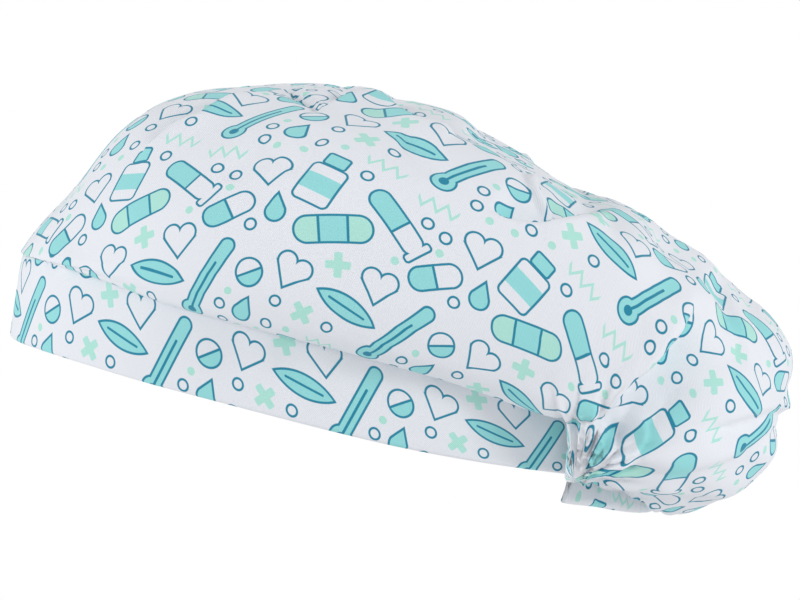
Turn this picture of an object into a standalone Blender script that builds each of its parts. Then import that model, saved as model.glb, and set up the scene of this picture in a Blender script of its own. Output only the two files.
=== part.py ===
"""Surgical scrub cap: a bouffant crown on a smooth forehead band, gathered by an elastic casing
across the nape.

The cap stands as it is worn, with the forehead towards -Y, the wearer's left towards +X and up
towards +Z. The origin is the middle of the head opening. Angles run round the opening from the
forehead: 0 is the forehead, 90 the wearer's left side and 180 the nape. Lengths are metres.
"""

import math

import bpy
from mathutils import Vector

# Head opening, measured inside the band
OPENING_LENGTH = 0.2172
OPENING_WIDTH = 0.1552
RIM_DROP = 0.0276
RIM_EASE = 0.0044

# Forehead band
BAND_THICKNESS = 0.0024
BAND_HEIGHT_FRONT = 0.0290
BAND_HEIGHT_TEMPLE = 0.0310
BAND_HEIGHT_END = 0.0210
BAND_LEAN = 0.0048
BAND_END_ANGLE = 147.0

# Elastic casing across the nape
CASING_THICKNESS = 0.0044
CASING_RISE = 0.0020
CASING_TAPER = 6.5
CASING_SLACK = 0.9
CASING_FALL_END = 0.0095
CASING_FALL_MIDDLE = 0.0135
CASING_GATHERS = 14
CASING_GATHER_DEPTH = 0.0009

# Crown
CROWN_TOP = 0.1110
CLOTH = 0.0012
SIDE_BULGE = 0.0140
POUCH_REACH = 0.0474
POUCH_SAG = 0.0150
SEAM_TUCK = 0.0019
ROLL_OUT = 0.0010
ROLL_SAG = 0.0026

# Lower points of a section, as shares of the way out and up: how much of the roll stands out
# where the cloth hangs flat, the turn of the roll, its lowest point and the hip over it
FLAT_ROLL = 0.30
TURN_OUT = 0.35
TURN_DOWN = 0.55
LOW_OUT = 0.30
HIP_OUT = 0.70
HIP_UP = 0.26

# Fit between sewn pieces
CLEARANCE = 0.0003

# Mesh density: degrees between columns from each angle on, measured from the ends of the band,
# and rings in each stretch of a section
COLUMN_STEPS = ((-BAND_END_ANGLE, 6.0), (-27.0, 3.0), (-9.0, 1.8), (18.0, 3.0))
STRETCH_RINGS = (1, 2, 2, 2, 3, 4, 4, 4, 2)
RINGS = sum(STRETCH_RINGS)
BAND_STEP = 4.2

# Sections of the crown, one row for each direction round the opening. side and pouch are shares
# of SIDE_BULGE and POUCH_REACH that the belly stands out past the band, and sag is the share of
# POUCH_SAG that the cloth hangs below its seam. Each *_in is a share of the belly's distance
# from the middle, and each *_up a share of the rise from the rim to CROWN_TOP.
SECTION_COLUMNS = (
    "angle", "side", "pouch", "sag", "belly_up",
    "flank_in", "flank_up", "shoulder_in", "shoulder_up", "ridge_in", "ridge_up",
)
SECTIONS = (
    (0.0, 0.04, 0.00, 0.00, 0.355, 0.860, 0.517, 0.668, 0.805, 0.440, 0.974),
    (22.0, 0.22, 0.00, 0.00, 0.378, 0.878, 0.576, 0.682, 0.825, 0.440, 0.972),
    (45.0, 0.55, 0.00, 0.00, 0.412, 0.905, 0.642, 0.705, 0.850, 0.435, 0.970),
    (68.0, 0.90, 0.00, 0.00, 0.440, 0.935, 0.671, 0.740, 0.863, 0.430, 0.965),
    (92.0, 1.00, 0.00, 0.00, 0.450, 0.957, 0.682, 0.770, 0.860, 0.425, 0.958),
    (118.0, 1.00, 0.03, 0.00, 0.410, 0.965, 0.650, 0.785, 0.828, 0.405, 0.942),
    (138.0, 0.80, 0.28, 0.02, 0.320, 0.940, 0.598, 0.740, 0.780, 0.350, 0.936),
    (152.0, 0.30, 0.70, 0.16, 0.240, 0.885, 0.570, 0.640, 0.750, 0.280, 0.938),
    (166.0, 0.00, 0.94, 0.62, 0.245, 0.830, 0.566, 0.550, 0.753, 0.245, 0.941),
    (180.0, 0.00, 1.00, 1.00, 0.262, 0.802, 0.566, 0.505, 0.756, 0.235, 0.942),
)

# Folds seen from the wearer's left, one row each. Each *_y is a share of HALF_LENGTH and each
# *_z a share of CROWN_TOP, both from the origin. width and depth are shares of FOLD_WIDTH and
# FOLD_DEPTH, a depth above zero stands out, and steep narrows the side towards the forehead.
# far is the share of the fold that the wearer's right side has.
FOLD_WIDTH = 0.010
FOLD_DEPTH = 0.005
SIDE_FOLD_COLUMNS = (
    "start_y", "start_z", "bend_y", "bend_z", "end_y", "end_z", "width", "depth", "steep", "far",
)
SIDE_FOLDS = {
    "puff crease": (1.14, 0.42, 1.00, 0.16, 0.76, -0.12, 0.95, -1.50, 0.80, 0.8),
    "puff lip": (1.06, 0.40, 0.88, 0.16, 0.70, -0.02, 1.10, 0.60, 1.00, 0.8),
    "pouch fold": (0.86, -0.20, 1.12, -0.22, 1.34, -0.08, 0.80, -0.60, 1.00, 0.7),
    "pouch rib": (0.86, -0.17, 1.08, -0.12, 1.26, 0.06, 0.80, 0.45, 1.00, 0.7),
    "pouch dent": (1.06, 0.52, 1.10, 0.42, 1.07, 0.30, 0.90, -0.50, 1.00, 0.5),
    "flank dent": (-0.36, 0.56, -0.20, 0.44, 0.02, 0.38, 1.80, -0.40, 1.00, 0.6),
}

# Folds seen from above, with *_x a share of HALF_WIDTH and *_y of HALF_LENGTH
TOP_FOLD_COLUMNS = (
    "start_x", "start_y", "bend_x", "bend_y", "end_x", "end_y", "width", "depth", "steep",
)
TOP_FOLDS = {
    "near ridge": (0.40, -0.62, 0.52, 0.05, 0.50, 0.62, 1.20, 0.60, 1.00),
    "front tuck": (0.16, -0.62, 0.22, -0.36, 0.42, -0.12, 0.70, -0.28, 1.00),
    "pinch": (0.55, 0.60, 0.34, 0.72, 0.05, 0.86, 0.80, -0.80, 0.70),
    "pouch valley": (0.90, 0.66, 0.50, 0.76, 0.10, 0.90, 1.10, -0.90, 0.80),
    "pouch crest": (0.74, 0.84, 0.34, 0.96, -0.30, 1.00, 1.10, 0.60, 1.00),
}

# Gathers that fan out from each end of the band
GATHER_ANGLE = 148.5
GATHER_RIBS = 4
GATHER_REACH = 0.030
GATHER_DEPTH = 0.0011
GATHER_START = 0.006

# Share of a fold's length over which it fades out at each end, and the slope of the surface
# from which a fold shows in full
FOLD_FADE = 0.25
SIDE_FACING = (0.10, 0.50)
TOP_FACING = (0.05, 0.45)

# Rings at the seam that stay clear of the folds, and the ring from which they show in full
FREE_RINGS = (2, 5)

# Rounding of a strip's edges as a share of its thickness
STRIP_ROUNDING = 0.3

HALF_LENGTH = OPENING_LENGTH / 2 + BAND_THICKNESS
HALF_WIDTH = OPENING_WIDTH / 2 + BAND_THICKNESS
CURVE_STEPS = 16

CLOTH_WHITE = (0.85, 0.86, 0.92, 1.0)
BAND_WHITE = (0.80, 0.82, 0.88, 1.0)
CASING_WHITE = (0.70, 0.73, 0.77, 1.0)
CLOTH_ROUGHNESS = 0.85


def mix(a, b, share):
    """The value that lies share of the way from a to b."""
    return a + (b - a) * share


def ease(value, low, high):
    """0 below low, 1 above high, with a smooth rise between them."""
    share = min(max((value - low) / (high - low), 0.0), 1.0)
    return share * share * (3.0 - 2.0 * share)


def spline(p0, p1, p2, p3, share):
    """Value between p1 and p2 on a smooth curve that passes through all four."""
    return 0.5 * (
        2.0 * p1
        + (p2 - p0) * share
        + (2.0 * p0 - 5.0 * p1 + 4.0 * p2 - p3) * share**2
        + (3.0 * p1 - p0 - 3.0 * p2 + p3) * share**3
    )


def section(angle):
    """The named shares of the crown's section in one direction, alike on both sides."""
    turn = abs((angle + 180.0) % 360.0 - 180.0)
    row = 0
    while row < len(SECTIONS) - 2 and turn > SECTIONS[row + 1][0]:
        row += 1
    before = SECTIONS[row - 1] if row > 0 else SECTIONS[1]
    here, there = SECTIONS[row], SECTIONS[row + 1]
    after = SECTIONS[row + 2] if row + 2 < len(SECTIONS) else SECTIONS[-2]
    share = (turn - here[0]) / (there[0] - here[0])
    values = [spline(*four, share) for four in zip(before, here, there, after)]
    return dict(zip(SECTION_COLUMNS, values))


def heading(angle):
    """Unit direction away from the middle of the opening."""
    turn = math.radians(angle)
    return Vector((math.sin(turn), -math.cos(turn), 0.0))


def rim_radius(angle):
    """Distance from the middle to the outside of the band at its lower edge."""
    way = heading(angle)
    return 1.0 / math.hypot(way.x / HALF_WIDTH, way.y / HALF_LENGTH)


def top_radius(angle):
    """Distance from the middle to the outside of the band at its upper edge."""
    return rim_radius(angle) - BAND_LEAN * max(math.cos(math.radians(angle)), 0.0) ** 2


def rim_height(angle):
    """Height of the band's lower edge, which slopes down towards the nape."""
    back = rim_radius(angle) * heading(angle).y / HALF_LENGTH
    return -RIM_DROP * back + RIM_EASE * back**3


def band_height(angle):
    """Height of the band above its lower edge."""
    turn = abs((angle + 180.0) % 360.0 - 180.0)
    front = mix(BAND_HEIGHT_FRONT, BAND_HEIGHT_TEMPLE, ease(turn, 0.0, 50.0))
    return mix(front, BAND_HEIGHT_END, ease(turn, 85.0, BAND_END_ANGLE) ** 1.5)


def seam_height(angle):
    """Height of the edge that the crown is sewn to: the band's, and the casing's at the nape."""
    turn = abs((angle + 180.0) % 360.0 - 180.0)
    down = ease(turn, BAND_END_ANGLE, BAND_END_ANGLE + CASING_TAPER)
    return rim_height(angle) + mix(band_height(angle), CASING_RISE, down)


def crown_profile(angle):
    """Points of the crown's outside, as (distance out, height), from its seam to its top."""
    share = section(angle)
    seam_r, seam_z, rim_z = top_radius(angle), seam_height(angle), rim_height(angle)
    rise = CROWN_TOP - rim_z
    stand = SIDE_BULGE * share["side"] + POUCH_REACH * share["pouch"]
    belly = (seam_r + ROLL_OUT + stand, rim_z + share["belly_up"] * rise)
    spread = min(share["side"] + share["pouch"], 1.0)
    out = seam_r + mix(FLAT_ROLL, 1.0, spread) * ROLL_OUT
    out += (CASING_THICKNESS - BAND_THICKNESS) * share["pouch"]
    roll = ROLL_SAG * ease(stand, 0.0, SIDE_BULGE) + POUCH_SAG * share["sag"]
    low = (mix(out, belly[0], LOW_OUT), seam_z + CLEARANCE - roll)
    points = [
        (seam_r - SEAM_TUCK, seam_z + CLEARANCE),
        (out, seam_z + CLEARANCE),
        (mix(out, low[0], TURN_OUT), mix(seam_z + CLEARANCE, low[1], TURN_DOWN)),
        low,
        (mix(low[0], belly[0], HIP_OUT), mix(low[1], belly[1], HIP_UP)),
        belly,
    ]
    for name in ("flank", "shoulder", "ridge"):
        points.append((belly[0] * share[name + "_in"], rim_z + share[name + "_up"] * rise))
    points.append((0.0, CROWN_TOP))
    return points


def section_rings(angle):
    """The section's points at each ring. The first stretch, on top of the seam, is straight."""
    points = crown_profile(angle)
    across = crown_profile(angle + 180.0)[-2]
    beyond = (-across[0], across[1])
    before = (2 * points[1][0] - points[2][0], points[1][1])
    chain = [before] + points[1:] + [beyond]
    rings = [points[0]]
    for index, count in enumerate(STRETCH_RINGS[1:], start=1):
        four = chain[index - 1:index + 3]
        for step in range(count):
            rings.append(tuple(spline(*values, step / count) for values in zip(*four)))
    return rings


def bend(start, middle, end):
    """Points of a smooth line from start to end that is drawn towards middle."""
    points = []
    for step in range(CURVE_STEPS + 1):
        share = step / CURVE_STEPS
        points.append(start.lerp(middle, share).lerp(middle.lerp(end, share), share))
    return points


def nearest(line, point):
    """Share along a line and signed distance from it, where the point is nearest to it."""
    best = (math.inf, 0.0, 0.0)
    for index, (a, b) in enumerate(zip(line, line[1:])):
        run, offset = b - a, point - a
        share = min(max(offset.dot(run) / run.length_squared, 0.0), 1.0)
        gap = offset - run * share
        if gap.length < best[0]:
            side = math.copysign(1.0, run.x * offset.y - run.y * offset.x)
            best = (gap.length, (index + share) / (len(line) - 1), side * gap.length)
    return best[1], best[2]


def fold_height(fold, line, point):
    """How far one fold lifts the cloth at a point."""
    along, away = nearest(line, point)
    width = FOLD_WIDTH * fold["width"] * (fold["steep"] if away < 0.0 else 1.0)
    fade = ease(along, 0.0, FOLD_FADE) * ease(1.0 - along, 0.0, FOLD_FADE)
    return FOLD_DEPTH * fold["depth"] * fade * math.exp(-((away / width) ** 2))


def side_folds():
    """The side folds, each as its shares and its line in the Y and Z directions."""
    folds = []
    for row in SIDE_FOLDS.values():
        fold = dict(zip(SIDE_FOLD_COLUMNS, row))
        ends = [
            Vector((fold[name + "_y"] * HALF_LENGTH, fold[name + "_z"] * CROWN_TOP))
            for name in ("start", "bend", "end")
        ]
        folds.append((fold, bend(*ends)))
    return folds


def top_folds():
    """The top folds, each as its shares and its line in the X and Y directions."""
    folds = []
    for row in TOP_FOLDS.values():
        fold = dict(zip(TOP_FOLD_COLUMNS, row))
        ends = [
            Vector((fold[name + "_x"] * HALF_WIDTH, fold[name + "_y"] * HALF_LENGTH))
            for name in ("start", "bend", "end")
        ]
        folds.append((fold, bend(*ends)))
    return folds


def gather_height(point):
    """The fan of small ribs round the end of the band on the point's own side."""
    way = heading(GATHER_ANGLE)
    centre = Vector((way.y * rim_radius(GATHER_ANGLE), rim_height(GATHER_ANGLE)))
    offset = Vector((point.y, point.z)) - centre
    reach = offset.length
    bell = ease(reach, GATHER_START, 2 * GATHER_START) * (1.0 - ease(reach, GATHER_START, GATHER_REACH))
    turn = math.atan2(offset.y, offset.x)
    return GATHER_DEPTH * bell * math.cos(2 * GATHER_RIBS * turn)


def column_angles():
    """Directions of the grid's columns, closest together round the ends of the band."""
    starts = [BAND_END_ANGLE + row[0] for row in COLUMN_STEPS]
    angles = []
    for start, end, (_, step) in zip(starts, starts[1:] + [180.0], COLUMN_STEPS):
        count = max(round((end - start) / step), 1)
        angles += [mix(start, end, index / count) for index in range(count)]
    return angles + [180.0] + [360.0 - angle for angle in reversed(angles[1:])]


def crown_grid():
    """Points of the crown's outside, one list of rings for each direction round the opening."""
    grid = []
    for angle in column_angles():
        way = heading(angle)
        grid.append([Vector((way.x * r, way.y * r, z)) for r, z in section_rings(angle)])
    return grid


def grid_normal(grid, column, ring, pole):
    """Outward direction at a point of the grid, from its neighbours."""
    left, right = grid[column - 1][ring], grid[(column + 1) % len(grid)][ring]
    below = grid[column][max(ring - 1, 0)]
    above = grid[column][ring + 1] if ring + 1 < RINGS else pole
    return (right - left).cross(above - below).normalized()


def fold_crown(grid, pole):
    """The grid with every fold and gather laid into it, clear of the seam's first rings."""
    sides, tops = side_folds(), top_folds()
    folded = []
    for column, points in enumerate(grid):
        line = []
        for ring, point in enumerate(points):
            normal = grid_normal(grid, column, ring, pole)
            lift = 0.0
            facing = abs(normal.x)
            for fold, path in sides:
                part = fold_height(fold, path, Vector((point.y, point.z)))
                lift += part * ease(facing, *SIDE_FACING) * (1.0 if point.x > 0.0 else fold["far"])
            for fold, path in tops:
                part = fold_height(fold, path, Vector((point.x, point.y)))
                lift += part * ease(normal.z, *TOP_FACING)
            lift += gather_height(point) * ease(facing, *SIDE_FACING)
            line.append(point + normal * lift * ease(ring, *FREE_RINGS))
        folded.append(line)
    return folded


def add_object(name, vertices, faces, colour):
    """A smooth-shaded object with a cloth material of its own."""
    mesh = bpy.data.meshes.new(name)
    mesh.from_pydata(vertices, [], faces)
    mesh.validate()
    mesh.shade_smooth()
    part = bpy.data.objects.new(name, mesh)
    bpy.context.collection.objects.link(part)
    material = bpy.data.materials.new(name + "_cloth")
    material.use_nodes = True
    shader = material.node_tree.nodes["Principled BSDF"]
    shader.inputs["Base Color"].default_value = colour
    shader.inputs["Roughness"].default_value = CLOTH_ROUGHNESS
    shader.inputs["Metallic"].default_value = 0.0
    mesh.materials.append(material)
    return part


def make_crown():
    """The hollow bag of cloth: one open sheet thickened inwards."""
    pole = Vector((0.0, 0.0, CROWN_TOP))
    grid = fold_crown(crown_grid(), pole)
    columns = len(grid)
    vertices = [point for line in grid for point in line] + [pole]
    faces = []
    for column in range(columns):
        here, there = column * RINGS, (column + 1) % columns * RINGS
        for ring in range(RINGS - 1):
            faces.append((here + ring, there + ring, there + ring + 1, here + ring + 1))
        faces.append((here + RINGS - 1, there + RINGS - 1, len(vertices) - 1))
    crown = add_object("crown", vertices, faces, CLOTH_WHITE)
    wall = crown.modifiers.new("cloth wall", "SOLIDIFY")
    wall.thickness = CLOTH
    wall.offset = -1.0
    return crown


def sweep(name, sections, colour):
    """A closed strip through a row of sections, with flat ends."""
    size = len(sections[0])
    vertices = [point for points in sections for point in points]
    faces = [tuple(range(size))]
    for step in range(len(sections) - 1):
        for index in range(size):
            here, after = step * size + index, step * size + (index + 1) % size
            faces.append((here, here + size, after + size, after))
    faces.append(tuple(reversed(range(len(vertices) - size, len(vertices)))))
    return add_object(name, vertices, faces, colour)


def rounded_strip(angle, foot, head, bottom, top, thickness):
    """A strip's section with rounded edges, from foot out at the bottom to head out at the top."""
    way = heading(angle)
    round_off = STRIP_ROUNDING * thickness
    outline = (
        (foot - round_off, bottom), (foot, bottom + round_off),
        (head, top - round_off), (head - round_off, top),
        (head - thickness + round_off, top), (head - thickness, top - round_off),
        (foot - thickness, bottom + round_off), (foot - thickness + round_off, bottom),
    )
    return [Vector((way.x * r, way.y * r, z)) for r, z in outline]


def make_band():
    """The double layer of cloth round the forehead, from one side of the nape to the other."""
    steps = math.ceil(2 * BAND_END_ANGLE / BAND_STEP)
    sections = []
    for step in range(steps + 1):
        angle = mix(-BAND_END_ANGLE, BAND_END_ANGLE, step / steps)
        bottom = rim_height(angle)
        top = bottom + band_height(angle)
        sections.append(
            rounded_strip(angle, rim_radius(angle), top_radius(angle), bottom, top, BAND_THICKNESS)
        )
    return sweep("band", sections, BAND_WHITE)


def make_casing():
    """The gathered casing across the nape, a clearance away from each end of the band."""
    gap = math.degrees(CLEARANCE / rim_radius(BAND_END_ANGLE))
    first, last = BAND_END_ANGLE + gap, 360.0 - BAND_END_ANGLE - gap
    steps = 4 * CASING_GATHERS
    inset = (CASING_THICKNESS - BAND_THICKNESS) / 2
    sections = []
    for step in range(steps + 1):
        share = step / steps
        angle = mix(first, last, share)
        middle = math.sin(math.pi * share)
        puff = CASING_GATHER_DEPTH * math.cos(2 * math.pi * CASING_GATHERS * share) * middle**0.5
        fall = mix(CASING_FALL_END, CASING_FALL_MIDDLE, middle)
        bottom = rim_height(angle) - fall
        top = min(seam_height(angle + turn) for turn in (-CASING_SLACK, 0.0, CASING_SLACK))
        outside = rim_radius(angle) + inset * middle + puff / 2
        sections.append(
            rounded_strip(angle, outside, outside, bottom, top, CASING_THICKNESS + puff)
        )
    return sweep("nape_casing", sections, CASING_WHITE)


def main():
    for old in list(bpy.data.objects):
        bpy.data.objects.remove(old)
    make_crown()
    make_band()
    make_casing()


main()
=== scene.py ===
"""Surgical scrub cap in printed cotton twill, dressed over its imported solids.

The cap is three sewn pieces: a bouffant crown, a folded forehead band and a gathered casing across
the nape. It stands as it is worn, with the forehead towards -Y, the wearer's left towards +X and
up towards +Z. Angles run round the head opening from the forehead: 0 is the forehead, 90 the
wearer's left side and 180 the nape. Lengths are metres, but folds and the print are given in
millimetres.
"""

import math

import bpy
import numpy as np
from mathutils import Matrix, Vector


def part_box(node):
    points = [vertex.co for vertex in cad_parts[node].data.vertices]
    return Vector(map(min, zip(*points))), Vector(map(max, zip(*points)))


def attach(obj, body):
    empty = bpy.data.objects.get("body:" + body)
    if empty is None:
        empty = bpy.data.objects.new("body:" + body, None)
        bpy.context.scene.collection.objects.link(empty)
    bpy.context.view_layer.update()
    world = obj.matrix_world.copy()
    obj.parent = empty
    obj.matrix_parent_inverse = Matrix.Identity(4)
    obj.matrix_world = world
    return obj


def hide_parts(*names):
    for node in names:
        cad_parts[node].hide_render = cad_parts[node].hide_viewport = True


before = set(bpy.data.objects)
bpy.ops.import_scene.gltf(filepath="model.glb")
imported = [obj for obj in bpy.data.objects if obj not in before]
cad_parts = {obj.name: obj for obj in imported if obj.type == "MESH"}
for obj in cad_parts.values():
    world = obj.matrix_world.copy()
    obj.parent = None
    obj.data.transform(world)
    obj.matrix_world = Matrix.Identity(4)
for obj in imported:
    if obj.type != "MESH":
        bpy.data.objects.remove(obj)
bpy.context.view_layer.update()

bl_info = {
    "name": "Scrub Cap",
    "version": (1, 0, 0),
    "blender": (4, 5, 0),
    "location": "3D View > Sidebar > Scrub Cap",
    "description": "Sews the crown, band and nape casing of a printed scrub cap over its solids",
    "category": "Add Mesh",
}

MM = 0.001
BAND_LOW, BAND_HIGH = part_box("band")

# Head opening and band, which follow the solids. The lower edge slopes down by RIM_DROP towards
# the nape and eases by RIM_EASE at its ends, and the upper edge leans in by BAND_LEAN at the
# forehead. From BAND_NARROWS_ANGLE on the band narrows, with BAND_NARROWING as its power.
HALF_WIDTH = BAND_HIGH[0]
HALF_LENGTH = -BAND_LOW[1]
RIM_DROP = 0.0276
RIM_EASE = 0.0044
BAND_THICKNESS = 0.0024
BAND_HEIGHT_FRONT = 0.0290
BAND_HEIGHT_TEMPLE = 0.0310
BAND_HEIGHT_END = 0.0210
BAND_LEAN = 0.0048
BAND_END_ANGLE = 147.0
TEMPLE_ANGLE = 50.0
BAND_NARROWS_ANGLE = 85.0
BAND_NARROWING = 1.5

# The lower edge lies a little over the solid's: how far at the back and at the front, and the
# shares of the half length between which that comes in
RIM_LIFT_BACK = 0.0011
RIM_LIFT_BACK_SHARES = (0.1, 0.7)
RIM_LIFT_FRONT = 0.0014
RIM_LIFT_FRONT_SHARES = (0.5, 0.95)

# Elastic casing across the nape: its rise over the rim, the degrees over which the crown's seam
# comes down to that from the band, and how far it hangs below the rim at its ends and its middle
CASING_THICKNESS = 0.0044
CASING_RISE = 0.0020
CASING_TAPER = 6.5
CASING_FALL_END = 0.0090
CASING_FALL_MIDDLE = 0.0135

# Crown: its height, how far it stands out at the sides and at the pouch, how far its seam is tucked
# in, and how far the cloth rolls out over that seam and sags below it
CROWN_TOP = 0.1110
SIDE_BULGE = 0.0140
POUCH_REACH = 0.0474
SEAM_TUCK = 0.0019
ROLL_OUT = 0.0010
ROLL_SAG = 0.0026
CLEARANCE = 0.0003

# Lower points of a section: how much of the roll stands out where the cloth hangs flat, and, at
# the sides and at the nape, the turn of the roll, its lowest point and the hip over it
FLAT_ROLL = -0.9
TURN_OUT = (0.35, 0.25)
TURN_DOWN = (0.55, 0.70)
LOW_OUT = (0.30, 0.20)
HIP_OUT = 0.70
HIP_UP = 0.26

# At the end of the band the crown comes down over the casing: the angles between which it does,
# how far below the rim it hangs at the middle of the nape, and the shares of the way there from
# the end of the band between which that comes
DRAPE_ANGLES = (145.0, 147.2)
NAPE_HANG = 0.0130
NAPE_HANG_SHARES = (0.06, 0.7)

# The gathers pull the lowest cloth beside the end of the band forward: how far, in degrees, and
# the angles and then the points of the section between which that comes and goes
GATHER_PULL = 8.0
GATHER_PULL_ANGLES = (124.0, 147.0, 151.0, 176.0)
GATHER_PULL_RINGS = (1.4, 3.0, 3.4, 5.0)

# Sections of the crown, one row for each direction round the opening. side and pouch are shares
# of SIDE_BULGE and POUCH_REACH by which the belly stands out past the band. Each *_in is a share
# of the belly's distance from the middle, and each *_up a share of the rise from the rim to
# CROWN_TOP.
SECTION_COLUMNS = (
    "angle", "side", "pouch", "belly_up", "flank_in", "flank_up", "shoulder_in", "shoulder_up",
    "ridge_in", "ridge_up",
)
SECTIONS = np.array((
    (0.0, 0.04, 0.00, 0.355, 0.860, 0.517, 0.668, 0.805, 0.440, 0.974),
    (22.0, 0.22, 0.00, 0.378, 0.878, 0.576, 0.682, 0.825, 0.440, 0.972),
    (45.0, 0.55, 0.00, 0.412, 0.905, 0.642, 0.705, 0.850, 0.435, 0.970),
    (68.0, 0.90, 0.00, 0.440, 0.935, 0.671, 0.740, 0.863, 0.430, 0.965),
    (92.0, 1.00, 0.00, 0.450, 0.957, 0.682, 0.770, 0.860, 0.425, 0.958),
    (118.0, 1.00, 0.03, 0.410, 0.965, 0.650, 0.785, 0.828, 0.405, 0.942),
    (138.0, 0.80, 0.28, 0.320, 0.940, 0.598, 0.740, 0.780, 0.350, 0.936),
    (152.0, 0.30, 0.70, 0.240, 0.885, 0.570, 0.640, 0.750, 0.280, 0.938),
    (166.0, 0.00, 0.94, 0.245, 0.830, 0.566, 0.550, 0.753, 0.245, 0.941),
    (180.0, 0.00, 1.00, 0.262, 0.802, 0.566, 0.505, 0.756, 0.235, 0.942),
))

# Density of the cloth: degrees between columns from each angle on, and rings in each stretch
# between two points of the section. CLOTH is the thickness of its wall.
COLUMN_STEPS = (
    (0.0, 2.0), (118.0, 1.0), (134.0, 0.6), (143.0, 0.16), (149.4, 0.5), (156.4, 0.6), (164.2, 0.8),
)
STRETCH_RINGS = (2, 4, 8, 16, 24, 26, 24, 20, 14)
CLOTH = 0.0006

# The side view looks at the wearer's left from this many degrees above. Folds are placed in it,
# in millimetres towards the nape and up from the middle of the opening.
SIDE_VIEW_RISE = math.radians(5.0)

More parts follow.
